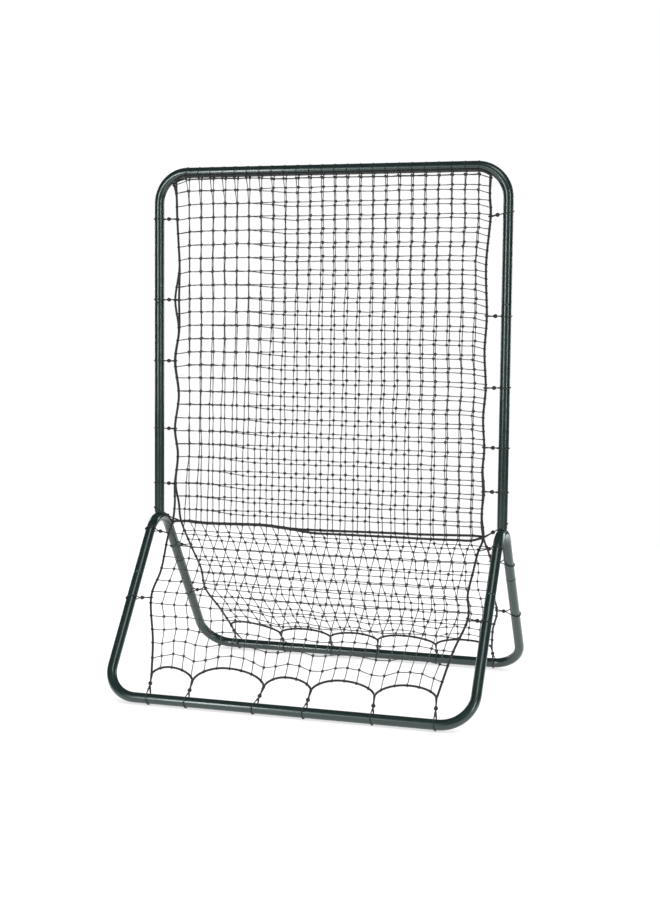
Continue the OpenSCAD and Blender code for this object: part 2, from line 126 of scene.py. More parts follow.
class Mesh:
    """Gathers tubes and turned shapes into one mesh with a UV round and along each."""

    def __init__(self):
        self.points, self.faces, self.uvs = [], [], []

    def band(self, start, i, j, sides, v0, v1):
        """The faces between ring i and ring j of a shape whose points begin at start."""
        for k in range(sides):
            m = (k + 1) % sides
            self.faces.append((start + i * sides + k, start + i * sides + m,
                               start + j * sides + m, start + j * sides + k))
            self.uvs.append(((k / sides, v0), ((k + 1) / sides, v0),
                             ((k + 1) / sides, v1), (k / sides, v1)))

    def tube(self, path, radius, sides, closed=False, twist=0.0, flat=1.0):
        """A tube along a path. It takes one radius or one for each point, and may be flat and twisted."""
        n = len(path)
        start = len(self.points)
        along, lengths = 0.0, []
        side = None
        for i, p in enumerate(path):
            before = path[i - 1] if i or closed else path[0]
            after = path[(i + 1) % n] if i + 1 < n or closed else path[-1]
            direction = (after - before).normalized()
            if side is None:
                side = normal_to(direction)
            else:
                side = (side - direction * side.dot(direction)).normalized()
            other = direction.cross(side)
            if i:
                along += (p - path[i - 1]).length
            lengths.append(along)
            r = radius[i] if isinstance(radius, list) else radius
            c, s = math.cos(twist * along), math.sin(twist * along)
            for k in range(sides):
                a = 2 * math.pi * k / sides
                u, v = r * math.cos(a), r * flat * math.sin(a)
                self.points.append(p + side * (u * c - v * s) + other * (u * s + v * c))
        total = along + (path[0] - path[-1]).length
        for i in range(n if closed else n - 1):
            j = (i + 1) % n
            self.band(start, i, j, sides, lengths[i], lengths[j] if j else total)
        if not closed:
            for ring, v, order in ((0, 0, range(sides - 1, -1, -1)), (n - 1, total, range(sides))):
                self.faces.append(tuple(start + ring * sides + k for k in order))
                self.uvs.append(tuple((k / sides, v) for k in range(sides)))

    def turned(self, profile, centre, axis, sides=20):
        """A closed profile of (distance along the axis, radius) turned round it."""
        axis = Vector(axis).normalized()
        side = normal_to(axis)
        other = axis.cross(side)
        start = len(self.points)
        n = len(profile)
        for along, r in profile:
            for k in range(sides):
                a = 2 * math.pi * k / sides
                self.points.append(centre + axis * along + side * (r * math.cos(a))
                                   + other * (r * math.sin(a)))
        for i in range(n):
            self.band(start, i, (i + 1) % n, sides, i / n, (i + 1) / n)

    def copy_of(self, template, place):
        start = len(self.points)
        self.points.extend(place @ p for p in template.points)
        self.faces.extend(tuple(start + v for v in f) for f in template.faces)
        self.uvs.extend(template.uvs)

    def piece(self, name, material, slot, *nodes):
        """Makes the object, which rides on the frame and stands for the given CAD nodes."""
        mesh = bpy.data.meshes.new(name)
        mesh.from_pydata([tuple(p) for p in self.points], [], self.faces)
        layer = mesh.uv_layers.new(name="round_and_along")
        flat = [c for face in self.uvs for uv in face for c in uv]
        layer.data.foreach_set("uv", flat)
        mesh.polygons.foreach_set("use_smooth", [True] * len(mesh.polygons))
        mesh.update()
        mesh.validate()
        obj = add_object(name, mesh)
        mesh.materials.append(material)
        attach(obj, "stand")
        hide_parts(*nodes)


# ---------------------------------------------------------------- materials
def new_material(name):
    material = bpy.data.materials.new(name)
    material.use_nodes = True
    tree = material.node_tree
    return material, tree, tree.nodes["Principled BSDF"]


def node(tree, kind, **values):
    """A shader node with its settings and the constants of its inputs."""
    made = tree.nodes.new(kind)
    for key, value in values.items():
        if hasattr(made, key):
            setattr(made, key, value)
        else:
            made.inputs[key].default_value = value
    return made


def maths(tree, operation, *values):
    """The output of a Math node on numbers and other nodes' outputs."""
    made = node(tree, "ShaderNodeMath", operation=operation)
    for socket, value in zip(made.inputs, values):
        if isinstance(value, (int, float)):
            socket.default_value = value
        else:
            tree.links.new(value, socket)
    return made.outputs[0]


def speckle(tree, coords, scale, detail, roughness):
    """Noise fixed to the object."""
    made = node(tree, "ShaderNodeTexNoise", **{"Scale": scale, "Detail": detail, "Roughness": roughness})
    tree.links.new(coords.outputs["Object"], made.inputs["Vector"])
    return made.outputs["Fac"]


def ramp(tree, source, *stops):
    """The source turned into colours, from two stops of (value, colour)."""
    made = tree.nodes.new("ShaderNodeValToRGB")
    for element, (value, colour) in zip(made.color_ramp.elements, stops):
        element.position = value
        element.color = (*colour, 1)
    tree.links.new(source, made.inputs["Fac"])
    return made.outputs["Color"]


def relief(tree, shader, height, strength, distance):
    bump = node(tree, "ShaderNodeBump", **{"Strength": strength, "Distance": distance})
    tree.links.new(height, bump.inputs["Height"])
    tree.links.new(bump.outputs["Normal"], shader.inputs["Normal"])


def grey(v):
    return (v, v, v)


def painted_tube():
    """Dark green powder coat: fine orange peel, faint mottling, a little dust and rubbed specks."""
    material, tree, shader = new_material("painted_tube")
    coords = node(tree, "ShaderNodeTexCoord")
    peel = speckle(tree, coords, 700.0, 2.0, 0.55)
    mottle = speckle(tree, coords, 34.0, 5.0, 0.6)
    rub = speckle(tree, coords, 210.0, 6.0, 0.7)
    base = ramp(tree, mottle, (0.30, (0.0060, 0.0125, 0.0118)), (0.72, (0.0095, 0.0185, 0.0172)))
    specks = ramp(tree, rub, (0.70, grey(0)), (0.78, grey(1)))
    rubbed = node(tree, "ShaderNodeMix", data_type="RGBA")
    tree.links.new(specks, rubbed.inputs["Factor"])
    tree.links.new(base, rubbed.inputs["A"])
    rubbed.inputs["B"].default_value = (0.026, 0.040, 0.038, 1)
    tree.links.new(rubbed.outputs["Result"], shader.inputs["Base Color"])
    gloss = ramp(tree, mottle, (0.25, grey(0.27)), (0.80, grey(0.38)))
    tree.links.new(gloss, shader.inputs["Roughness"])
    relief(tree, shader, peel, 0.10, 0.0006)
    shader.inputs["Specular IOR Level"].default_value = 0.6
    shader.inputs["Specular Tint"].default_value = (0.80, 1.0, 0.97, 1)
    shader.inputs["Coat Weight"].default_value = 0.7
    shader.inputs["Coat Roughness"].default_value = 0.13
    shader.inputs["Coat Tint"].default_value = (0.92, 1.0, 0.99, 1)
    return material


def plain_steel(name, dark, light, rough):
    """Bare steel with a fine grain in its colour, gloss and relief."""
    material, tree, shader = new_material(name)
    grain = speckle(tree, node(tree, "ShaderNodeTexCoord"), 900.0, 4.0, 0.65)
    colour = ramp(tree, grain, (0.3, grey(dark)), (0.7, grey(light)))
    tree.links.new(colour, shader.inputs["Base Color"])
    gloss = ramp(tree, grain, (0.2, grey(rough)), (0.8, grey(rough + 0.14)))
    tree.links.new(gloss, shader.inputs["Roughness"])
    relief(tree, shader, grain, 0.12, 0.0002)
    shader.inputs["Metallic"].default_value = 1.0
    return material


def ball_plastic():
    """Black moulded plastic with fine scuffs."""
    material, tree, shader = new_material("tie_ball")
    scuffs = speckle(tree, node(tree, "ShaderNodeTexCoord"), 420.0, 5.0, 0.7)
    colour = ramp(tree, scuffs, (0.35, (0.008, 0.008, 0.009)), (0.80, (0.022, 0.022, 0.024)))
    tree.links.new(colour, shader.inputs["Base Color"])
    gloss = ramp(tree, scuffs, (0.3, grey(0.22)), (0.8, grey(0.42)))
    tree.links.new(gloss, shader.inputs["Roughness"])
    relief(tree, shader, scuffs, 0.08, 0.0003)
    return material


def stripes(tree, coords, turns, per_metre):
    """A wave that winds round a tube: its phase runs round with U and along with V."""
    split = node(tree, "ShaderNodeSeparateXYZ")
    tree.links.new(coords.outputs["UV"], split.inputs["Vector"])
    round_part = maths(tree, "MULTIPLY", split.outputs["X"], 2 * math.pi * turns)
    phase = maths(tree, "MULTIPLY_ADD", split.outputs["Y"], 2 * math.pi * per_metre, round_part)
    return maths(tree, "MULTIPLY_ADD", maths(tree, "SINE", phase), 0.5, 0.5)


def cord_material(name, dark, light, turns, per_metre, braided, rough, sheen):
    """A twisted or braided cord: helical strands in relief, with painted shade in the colour darkening the
    grooves between them, stray fibres, worn patches.
    """
    material, tree, shader = new_material(name)
    coords = node(tree, "ShaderNodeTexCoord")
    strands = stripes(tree, coords, turns, per_metre)
    if braided:
        strands = maths(tree, "MAXIMUM", strands, stripes(tree, coords, -turns, per_metre))
    fibre = speckle(tree, coords, 1400.0, 3.0, 0.7)
    wear = speckle(tree, coords, 60.0, 3.0, 0.6)
    height = maths(tree, "MULTIPLY_ADD", fibre, 0.35, strands)
    faded = node(tree, "ShaderNodeMix", data_type="RGBA", blend_type="MULTIPLY")
    faded.inputs["Factor"].default_value = 1.0
    # Painted shade: the colour is darkest in the grooves between the strands and lightest on their crowns.
    # The fibre noise on top is the twine's own tone.
    tree.links.new(ramp(tree, height, (0.15, dark), (1.0, light)), faded.inputs["A"])
    tree.links.new(ramp(tree, wear, (0.25, grey(0.75)), (0.75, grey(1.0))), faded.inputs["B"])
    tree.links.new(faded.outputs["Result"], shader.inputs["Base Color"])
    relief(tree, shader, height, 0.7, 0.0004)
    shader.inputs["Roughness"].default_value = rough
    shader.inputs["Sheen Weight"].default_value = sheen
    shader.inputs["Sheen Roughness"].default_value = 0.5
    return material


TUBE_PAINT = painted_tube()
BUTTON_STEEL = plain_steel("button_steel", dark=0.50, light=0.66, rough=0.22)
SPRING_STEEL = plain_steel("spring_steel", dark=0.30, light=0.42, rough=0.34)
# For each cord, dark is the painted shade in the grooves between its strands and light is the colour of the
# strands' crowns.
TWINE = cord_material("net_twine", dark=(0.010, 0.010, 0.011), light=(0.040, 0.040, 0.043),
                      turns=2, per_metre=190.0, braided=False, rough=0.52, sheen=0.25)
BORDER = cord_material("border_cord", dark=(0.003, 0.003, 0.0035), light=(0.014, 0.014, 0.015),
                       turns=4, per_metre=170.0, braided=True, rough=0.60, sheen=0.10)
ELASTIC = cord_material("elastic_cord", dark=(0.003, 0.003, 0.0035), light=(0.016, 0.016, 0.017),
                        turns=5, per_metre=260.0, braided=True, rough=0.55, sheen=0.12)
BALL = ball_plastic()

# ---------------------------------------------------------------- the CAD nodes that stay
FINISH = {"_button": BUTTON_STEEL, "_spring": SPRING_STEEL,
          "_frame": TUBE_PAINT, "_post": TUBE_PAINT, "_wishbone": TUBE_PAINT}
for name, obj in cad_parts.items():
    for ending, material in FINISH.items():
        if name.endswith(ending):
            obj.data.materials.clear()
            obj.data.materials.append(material)
            for polygon in obj.data.polygons:
                polygon.material_index = 0

# ---------------------------------------------------------------- where the nets run
# Each net's side borders above the waist as (x, height)
UPPER_SIDE = {
    (FRONT, LEFT): [
        (-0.501, 0.4872), (-0.494, 0.545), (-0.494, 0.608), (-0.484, 0.700), (-0.494, 0.783),
        (-0.481, 0.887), (-0.494, 0.994), (-0.481, 1.091), (-0.493, 1.184), (-0.479, 1.280),
        (-0.482, 1.360), (-0.4865, 1.435), (-0.4885, 1.504), (-0.4900, 1.5537)],
    (FRONT, RIGHT): [
        (0.496, 0.4872), (0.490, 0.548), (0.4925, 0.622), (0.489, 0.685), (0.4935, 0.750),
        (0.4885, 0.840), (0.4945, 0.930), (0.489, 1.036), (0.4938, 1.141), (0.489, 1.290),
        (0.5000, 1.429), (0.4965, 1.490), (0.4966, 1.5500)],
    (REAR, LEFT): [
        (-0.479, 0.4872), (-0.487, 0.545), (-0.498, 0.608), (-0.490, 0.700), (-0.500, 0.783),
        (-0.487, 0.887), (-0.499, 0.994), (-0.486, 1.091), (-0.487, 1.184), (-0.485, 1.280),
        (-0.489, 1.360), (-0.4930, 1.435), (-0.4955, 1.504), (-0.5050, 1.5440)],
    (REAR, RIGHT): [
        (0.492, 0.4872), (0.486, 0.548), (0.492, 0.622), (0.487, 0.685), (0.490, 0.750),
        (0.485, 0.840), (0.491, 0.930), (0.486, 1.036), (0.4905, 1.141), (0.486, 1.290),
        (0.496, 1.429), (0.493, 1.490), (0.4960, 1.5500)],
}
# and below it as (x, share of the way down the panel), from the waist on
LOWER_SIDE = {
    (FRONT, LEFT): [(-0.501, 0.0), (-0.502, 0.107), (-0.491, 0.329), (-0.496, 0.517),
                    (-0.449, 0.787), (-0.420, 1.0)],
    (FRONT, RIGHT): [(0.496, 0.0), (0.487, 0.100), (0.482, 0.230), (0.478, 0.370), (0.490, 0.517),
                     (0.462, 0.735), (0.440, 1.0)],
    (REAR, LEFT): [(-0.479, 0.0), (-0.476, 0.211), (-0.470, 0.420), (-0.481, 0.615),
                   (-0.455, 0.800), (-0.430, 1.0)],
    (REAR, RIGHT): [(0.492, 0.0), (0.504, 0.205), (0.490, 0.420), (0.497, 0.640),
                    (0.473, 0.827), (0.459, 1.0)],
}
# Each tie along the bottom as (its x on the border, its x on the bar, how far past the panel's end it pulls)
BOTTOM_TIES = {
    FRONT: [(-0.420, -0.411, 0.002), (-0.288, -0.291, 0.013), (-0.067, -0.082, 0.012),
            (0.075, 0.068, 0.011), (0.263, 0.267, 0.011), (0.440, 0.447, 0.002)],
    REAR: [(-0.436, -0.424, -0.016), (-0.265, -0.260, 0.013), (-0.088, -0.093, 0.013),
           (0.076, 0.064, 0.013), (0.273, 0.269, 0.013), (0.459, 0.459, 0.004)],
}
# The border's arches between them as (x of the top, rise). The border is fuller than the rows above it.
ARCHES = {
    FRONT: [(-0.362, 0.035), (-0.194, 0.053), (-0.006, 0.038), (0.160, 0.042), (0.345, 0.040)],
    REAR: [(-0.367, 0.034), (-0.174, 0.0365), (0.002, 0.034), (0.165, 0.040), (0.362, 0.037)],
}
BORDER_ARCH_POWER = 0.58
# Each post tie as (height on the post, height on the border)
POST_TIES = {
    LEFT: [(0.607, 0.607), (0.781, 0.781), (0.994, 0.994), (1.185, 1.185), (1.435, 1.435)],
    RIGHT: [(0.623, 0.623), (0.754, 0.754), (0.932, 0.930), (1.141, 1.141), (1.441, 1.431)],
}
# Each leg tie as (distance down the leg, share of the way down the panel)
LEG_TIES = {
    (FRONT, LEFT): [(0.118, 0.080), (0.357, 0.517)],
    (FRONT, RIGHT): [(0.118, 0.080), (0.357, 0.517)],
    (REAR, LEFT): [(0.209, 0.211), (0.428, 0.615)],
    (REAR, RIGHT): [(0.209, 0.205), (0.428, 0.640)],
}

PANEL_START = {end: Vector((0, end * NET_Y, WAIST_Z)) for end in ENDS}
PANEL_END = {end: leg_point(0, end, SLOPE_LEN - BOTTOM_GAP) for end in ENDS}
PANEL_WAY = {end: PANEL_END[end] - PANEL_START[end] for end in ENDS}


def between(table, p):
    """The value at p in a list of (value, place) sorted by place, smoothly joined."""
    if p <= table[0][1]:
        return table[0][0]
    for (a, pa), (b, pb) in zip(table, table[1:]):
        if p <= pb:
            t = (p - pa) / (pb - pa)
            t = t * t * (3 - 2 * t)
            return a + (b - a) * t
    return table[-1][0]


def wave(x, y, z, scale, size):
    """A slow unevenness that is always the same at a place."""
    return size * noise.noise(Vector((x, y, z)) * scale)


def scallop_at(end, x, power=1.0):
    """How far the net's bottom stands above the panel's end at x: pulled down at the ties, arched between."""
    ties = BOTTOM_TIES[end]
    if x <= ties[0][0]:
        return -ties[0][2]
    for a, b, (top, height) in zip(ties, ties[1:], ARCHES[end]):
        if x <= b[0]:
            width = b[0] - a[0]
            peak = (top - a[0]) / width
            u = (x - a[0]) / width
            arch = 0.5 * u / peak if u < peak else 1 - 0.5 * (1 - u) / (1 - peak)
            return height * (4 * arch * (1 - arch)) ** power - (a[2] + (b[2] - a[2]) * u)
    return -ties[-1][2]


# ---------------------------------------------------------------- the upper nets' crossings
COLUMN_X = [-0.4905 + i * 0.0395 for i in range(COLUMNS + 1)]
JITTER = 0.0010
# How much of its side border's waviness each column takes up, counted from the border
SIDE_REACH = {
    LEFT: [1.0, 0.12, 0.04],
    RIGHT: [1.0, 0.70, 0.55, 0.45, 0.38, 0.32, 0.26, 0.20, 0.14, 0.08],
}
STRAIGHT_SIDE_X = {LEFT: COLUMN_X[0], RIGHT: COLUMN_X[-1] - 0.0080}
# The front net's columns are drawn in a little towards this x
DRAW_X, DRAW_SHARE = 1.33, 0.00375
# The front net hangs askew: how far its columns lie to the left of the rear net's, by height and by x
ASKEW_X = [-0.45, -0.35, -0.20, 0.0, 0.20, 0.45]
ASKEW = [
    (0.50, [0.018, 0.018, 0.018, 0.017, 0.013, 0.004]),
    (0.60, [0.011, 0.016, 0.018, 0.017, 0.014, 0.004]),
    (0.72, [0.001, 0.015, 0.018, 0.015, 0.013, 0.003]),
    (0.85, [0.0, 0.013, 0.014, 0.013, 0.011, 0.003]),
    (0.93, [0.0, 0.008, 0.013, 0.011, 0.008, 0.001]),
    (1.10, [0.002, 0.002, 0.006, 0.011, 0.009, 0.006]),
    (1.25, [0.0025, 0.0025, 0.0025, 0.006, 0.004, 0.002]),
    (1.47, [0.0025, 0.0025, 0.0025, 0.004, 0.004, 0.002]),
    (1.575, [0.011, 0.011, 0.010, 0.006, 0.005, 0.003]),
]

FIRST_ROW_Z, ROW_PITCH = 0.5295, 0.0415
# How far the last row under the bar lies below the bar's centre, by x
LAST_ROW_DROP = [(0.0203, -0.24), (0.0238, -0.18)]
# On the left both nets' rows lie level. From this x, by height, the front net's come to hang lower.
LAG_START, LAG_WIDTH = [(-0.42, 0.56), (-0.28, 0.85)], 0.18
LEFT_ROW_DROP = 0.003
FRONT_LAG = 0.011
# The front net's rows lie a little closer than the rear net's, measured from this height
CLOSER_SHARE, CLOSER_Z = 0.0036, 1.107
# How far the rows' ends droop at the border, and how much of it the columns next to it take up
LEFT_DROOP_LOW, LEFT_DROOP_HIGH, LEFT_DROOP_Z = 0.001, 0.008, 0.95
RIGHT_DROOP = {FRONT: 0.013, REAR: 0.006}
RIGHT_DROOP_Z, RIGHT_DROOP_RISE = 0.52, 0.7
DROOP_SHARE = [1.0, 0.20, 0.05]


def askew(x, z):
    """How far the front net's columns lie to the left of the rear net's."""
    at_x = [(between(list(zip(row, ASKEW_X)), x), height) for height, row in ASKEW]
    return between(at_x, z)


def row_z(end, j, x):
    """Height of a row of the upper net at x, counted from the waist."""
    if j == 0:
        return WAIST_Z
    if j == UPPER_ROWS:
        return NEST_Z
    if j == UPPER_ROWS - 1:
        return TOP_Z - between(LAST_ROW_DROP, x)
    z = FIRST_ROW_Z + (j - 1) * ROW_PITCH
    start = between(LAG_START, z)
    lag = between([(0.0, start), (1.0, start + LAG_WIDTH)], x)
    if end == REAR:
        return z - LEFT_ROW_DROP * (1 - lag)
    return z - LEFT_ROW_DROP - FRONT_LAG * lag + CLOSER_SHARE * (CLOSER_Z - z)


def droop(end, side, from_side, z):
    """How far a row's end sinks, by the columns between it and its border."""
    if from_side >= len(DROOP_SHARE):
        return 0.0
    if side == LEFT:
        full = LEFT_DROOP_HIGH if z > LEFT_DROOP_Z else LEFT_DROOP_LOW
    else:
        full = RIGHT_DROOP[end] * min(1.0, max(0.0, (z - RIGHT_DROOP_Z) / RIGHT_DROOP_RISE))
    return full * DROOP_SHARE[from_side]


def upper_node(end, i, j):
    """The crossing of column i, counted from the left, and row j, counted from the waist."""
    side = LEFT if i < COLUMNS / 2 else RIGHT
    from_side = min(i, COLUMNS - i)
    border = UPPER_SIDE[end, side]
    x, z = COLUMN_X[i], row_z(end, j, COLUMN_X[i])
    if from_side == 0:
        x = between(border, z)
    else:
        reach = SIDE_REACH[side][from_side] if from_side < len(SIDE_REACH[side]) else 0.0
        x += (between(UPPER_SIDE[REAR, side], z) - STRAIGHT_SIDE_X[side]) * reach
        if end == FRONT:
            x += DRAW_SHARE * (DRAW_X - x) - askew(x, z)
    if 0 < j < UPPER_ROWS:
        last_row = j == UPPER_ROWS - 1
        if not last_row:
            z -= droop(end, side, from_side, z)
        x += wave(x, 3 * end, z, scale=9.0, size=0.0016)
        z += wave(x, 7 * end, z, scale=6.0, size=0.0008 if last_row else 0.0022)
        if from_side == 0:
            x = between(border, z)
        else:
            x += rng.uniform(-JITTER, JITTER)
            z += rng.uniform(-JITTER, JITTER)
    if j >= UPPER_ROWS - 1 and abs(x) > BAR_HALF:
        z += math.sqrt(max(0.0, NEST_R ** 2 - (abs(x) - BAR_HALF) ** 2)) - NEST_R
    if j == UPPER_ROWS:
        return Vector((x, end * NEST_Y, z))
    bulge = wave(x, z, end, scale=3.0, size=0.0012) if from_side else 0
    return Vector((x, end * NET_Y + bulge, z))


# ---------------------------------------------------------------- the lower nets' crossings
SIDE_SAG, MIDDLE_SAG = 0.002, 0.005
# How far the columns lie to the right of an even spacing. The front net's shift runs from one at the
# waist to another at the bottom, by column.
REAR_SHIFT = -0.003
FRONT_WAIST_SHIFT = 0.006
FRONT_BOTTOM_SHIFT = [(-0.013, 5), (-0.003, 8), (-0.003, 14), (0.014, 23)]
SHIFT_POWER = 1.5
FRONT_ROW_LIFT = 0.035  # how far up the panel the front net's middle rows are drawn
SCALLOP_POWER = 4.5  # how fast the scallops fade in the rows above the border
LOWER_JITTER = 0.002


def panel_point(end, x, t, share):
    """A point of the lower panel, a share of the way across, which hangs a little under its own weight."""
    p = PANEL_START[end].lerp(PANEL_END[end], t)
    sag = 4 * t * (1 - t) * (SIDE_SAG + MIDDLE_SAG * math.sin(math.pi * share))
    return Vector((x, p.y, p.z - sag))


def column_shift(end, i, part):
    if end == REAR:
        return REAR_SHIFT
    low = between(FRONT_BOTTOM_SHIFT, i)
    return FRONT_WAIST_SHIFT + (low - FRONT_WAIST_SHIFT) * part ** SHIFT_POWER


def lower_node(end, i, j):
    """The crossing of column i, counted from the left, and row j, counted from the waist down."""
    share = i / COLUMNS
    t = part = j / LOWER_ROWS[end]
    inner = 0 < i < COLUMNS
    left = between(LOWER_SIDE[end, LEFT], t)
    right = between(LOWER_SIDE[end, RIGHT], t)
    x = left + (right - left) * share
    if inner:
        x += column_shift(end, i, part)
    if end == FRONT:
        t -= FRONT_ROW_LIFT * math.sin(math.pi * part * part)
    power = BORDER_ARCH_POWER if j == LOWER_ROWS[end] else 1.0
    t -= scallop_at(end, x, power) / PANEL_WAY[end].length * part ** SCALLOP_POWER
    if 0 < j < LOWER_ROWS[end]:
        t += wave(x, end, part, scale=5.0, size=0.005)
        if inner:
            x += wave(x, part, 2 * end, scale=8.0, size=0.004) + rng.uniform(-JITTER, JITTER)
            t += rng.uniform(-LOWER_JITTER, LOWER_JITTER)
        else:
            x = between(LOWER_SIDE[end, LEFT if i == 0 else RIGHT], t)
    return panel_point(end, x, t, share)


# ---------------------------------------------------------------- the cords' routes
def bottom_point(end, x):
    """On the bottom border at x."""
    t = 1 - scallop_at(end, x, BORDER_ARCH_POWER) / PANEL_WAY[end].length
    return panel_point(end, x, t, 0.5)


def side_route(end, side):
    """Up the net's side: from the bottom corner to the waist and on to the top corner."""
    corner_x = BOTTOM_TIES[end][0 if side == LEFT else -1][0]
    share = 0 if side == LEFT else 1
    lower = [panel_point(end, x, t, share) for x, t in LOWER_SIDE[end, side][-2:0:-1]]
    upper = [Vector((x, end * NET_Y, z)) for x, z in UPPER_SIDE[end, side]]
    return curve_through([bottom_point(end, corner_x)] + lower + upper, step=0.009)


def bottom_route(end):
    """Along the bottom, arched between the ties and pulled to a point at each."""
    ties = [t[0] for t in BOTTOM_TIES[end]]
    path = []
    for a, b in zip(ties, ties[1:]):
        count = round((b - a) / 0.010)
        middle = [0.07 + 0.86 * k / count for k in range(count + 1)]
        path += [bottom_point(end, a + (b - a) * k) for k in [0, 0.02, 0.05] + middle + [0.95, 0.98]]
    path.append(bottom_point(end, ties[-1]))
    return path


# The border's way round each top corner as (degrees round the corner, share of the way to the bar)
NEST_ARC = {
    (FRONT, LEFT): [(70, 0.45), (76, 0.8), (84, 1.0)],
    (FRONT, RIGHT): [(65, 0.45), (75, 0.8), (84, 1.0)],
    (REAR, LEFT): [(58, 0.45), (76, 0.8), (84, 1.0)],
    (REAR, RIGHT): [(65, 0.45), (75, 0.8), (84, 1.0)],
}


def nest_point(end, side, degrees, share):
    """On the border in a top corner, a share of the way from the net's plane to its place on the bar."""
    y = NET_Y + (NEST_Y - NET_Y) * share
    r = CORNER_R - math.sqrt(NEST_REACH ** 2 - y * y)
    a = math.radians(degrees)
    return Vector((side * (BAR_HALF + r * math.cos(a)), end * y, TOP_Z - CORNER_R + r * math.sin(a)))


def top_route(end):
    """From the left corner along the bar to the right corner."""
    left, right = ([nest_point(end, side, *place) for place in NEST_ARC[end, side]] for side in SIDES)
    step, steps = 0.035, 12
    across = [Vector((i * step, end * NEST_Y, NEST_Z)) for i in range(-steps, steps + 1)]
    return left + across + right[::-1]


# The junction cords' height by x, and how much lower the front one lies
JUNCTION_Z = [(0.492, -0.50), (0.486, -0.39), (0.489, -0.21), (0.4805, -0.08), (0.484, 0.26), (0.489, 0.49)]
JUNCTION_LAG = [(0.0, -0.12), (0.008, -0.02), (0.010, 0.22), (0.013, 0.45)]
JUNCTION_Y = 0.007


def junction_point(end, x):
    lag = between(JUNCTION_LAG, x) if end == FRONT else 0
    return Vector((x, end * JUNCTION_Y, between(JUNCTION_Z, x) - lag))


def nearest(path, p):
    """The point nearest to p on a path."""
    best, gap = None, math.inf
    for a, b in zip(path, path[1:]):
        way = b - a
        t = min(1.0, max(0.0, (p - a).dot(way) / way.length_squared))
        found = a + way * t
        if (found - p).length < gap:
            best, gap = found, (found - p).length
    return best


UPPER_GRID = {end: [[upper_node(end, i, j) for j in range(UPPER_ROWS + 1)] for i in range(COLUMNS + 1)]
              for end in ENDS}
LOWER_GRID = {end: [[lower_node(end, i, j) for j in range(LOWER_ROWS[end] + 1)] for i in range(COLUMNS + 1)]
              for end in ENDS}
SIDE_ROUTE = {(end, side): side_route(end, side) for end in ENDS for side in SIDES}
BOTTOM_ROUTE = {end: bottom_route(end) for end in ENDS}

# The nets' edges are seated on the cords, and the lower nets begin where the upper nets end
for end in ENDS:
    upper, lower = UPPER_GRID[end], LOWER_GRID[end]
    for side, i in ((LEFT, 0), (RIGHT, COLUMNS)):
        for p in upper[i][:-2] + lower[i][:-1]:
            p[:] = nearest(SIDE_ROUTE[end, side], p)
    for i in range(1, COLUMNS):
        upper[i][0] = junction_point(end, upper[i][0].x)
        lower[i][-1] = nearest(BOTTOM_ROUTE[end], lower[i][-1])
    for i in range(COLUMNS + 1):
        lower[i][0] = upper[i][0].copy()


# ---------------------------------------------------------------- the nets
def knot_template():
    """A small tight knot: a trefoil of the net's own twine."""
    size, depth, count = 0.00098, 0.0015, 18
    path = []
    for k in range(count):
        t = 2 * math.pi * k / count
        path.append(Vector((
            size * (math.sin(t) + 2 * math.sin(2 * t)),
            -depth * math.sin(3 * t),
            size * (math.cos(t) - 2 * math.cos(2 * t)),
        )))
    made = Mesh()
    made.tube(path, KNOT_TWINE_R, sides=5, closed=True)
    return made


KNOT = knot_template()


def strand(mesh, nodes):
    """One twine through its knots, a little slack between them."""
    bow_across, bow_down = 0.0007, Vector((0, 0, 0.0004))
    path = []
    for a, b in zip(nodes, nodes[1:]):
        count = max(2, round((b - a).length / STRAND_STEP))
        across = (b - a).normalized().cross(Vector((0, 1, 0)))
        bow = across * rng.uniform(-bow_across, bow_across) - bow_down
        for k in range(count):
            t = k / count
            path.append(a.lerp(b, t) + bow * (4 * t * (1 - t)))
    path.append(nodes[-1])
    mesh.tube(path, STRAND_R, sides=5, twist=STRAND_TWIST, flat=STRAND_FLAT)


def net_panel(name, grid, outward, node_name):
    """Twines along every row and column of the grid, with a knot at each inner crossing."""
    mesh = Mesh()
    columns, rows = len(grid), len(grid[0])
    for i in range(1, columns - 1):
        strand(mesh, grid[i])
    for j in range(1, rows - 1):
        strand(mesh, [grid[i][j] for i in range(columns)])
    for i in range(1, columns - 1):
        for j in range(1, rows - 1):
            angle = rng.choice((0, 1, 2)) * math.pi / 3 + rng.uniform(-0.3, 0.3)
            turn = Matrix.Rotation(angle, 4, outward)
            scale = Matrix.Scale(rng.uniform(0.92, 1.10), 4)
            mesh.copy_of(KNOT, Matrix.Translation(grid[i][j]) @ turn @ scale)
    mesh.piece(name, TWINE, "net_twine", node_name)


for end in ENDS:
    name = END_NAME[end]
    net_panel(f"{name}_upper_net", UPPER_GRID[end], Vector((0, 1, 0)), f"{name}_net_upper")
    lower_outward = PANEL_WAY[end].normalized().cross(ACROSS)
    net_panel(f"{name}_lower_net", LOWER_GRID[end], lower_outward, f"{name}_net_lower")


# ---------------------------------------------------------------- border and junction cords
def lacing(mesh, at, along, cord_r, turns=1.6, pitch=0.0021, thickness=LACING_R):
    """Turns of twine round a cord, sunk a little into it."""
    along = along.normalized()
    side = normal_to(along)
    other = along.cross(side)
    start = rng.uniform(0, 2 * math.pi)
    count = round(9 * turns)
    r = cord_r + thickness * 0.75
    path = []
    for k in range(count + 1):
        a = start + 2 * math.pi * turns * k / count
        path.append(at + side * (r * math.cos(a)) + other * (r * math.sin(a))
                    + along * (pitch * turns * (k / count - 0.5)))
    mesh.tube(path, thickness, sides=5)


def lace(mesh, line, k, cord_r, turns=1.6):
    """The turns that tie a row or column to a cord at the line's point k."""
    lacing(mesh, line[k], line[k + 1] - line[k - 1], cord_r, turns)


def hull(points):
    """The convex outline of points in a plane, in order."""
    points = sorted(points)
    outline = []
    for row in (points, points[::-1]):
        part = []
        for p in row:
            while len(part) > 1 and ((part[-1][0] - part[-2][0]) * (p[1] - part[-2][1])
                                     <= (part[-1][1] - part[-2][1]) * (p[0] - part[-2][0])):
                part.pop()
            part.append(p)
        outline += part[:-1]
    return outline


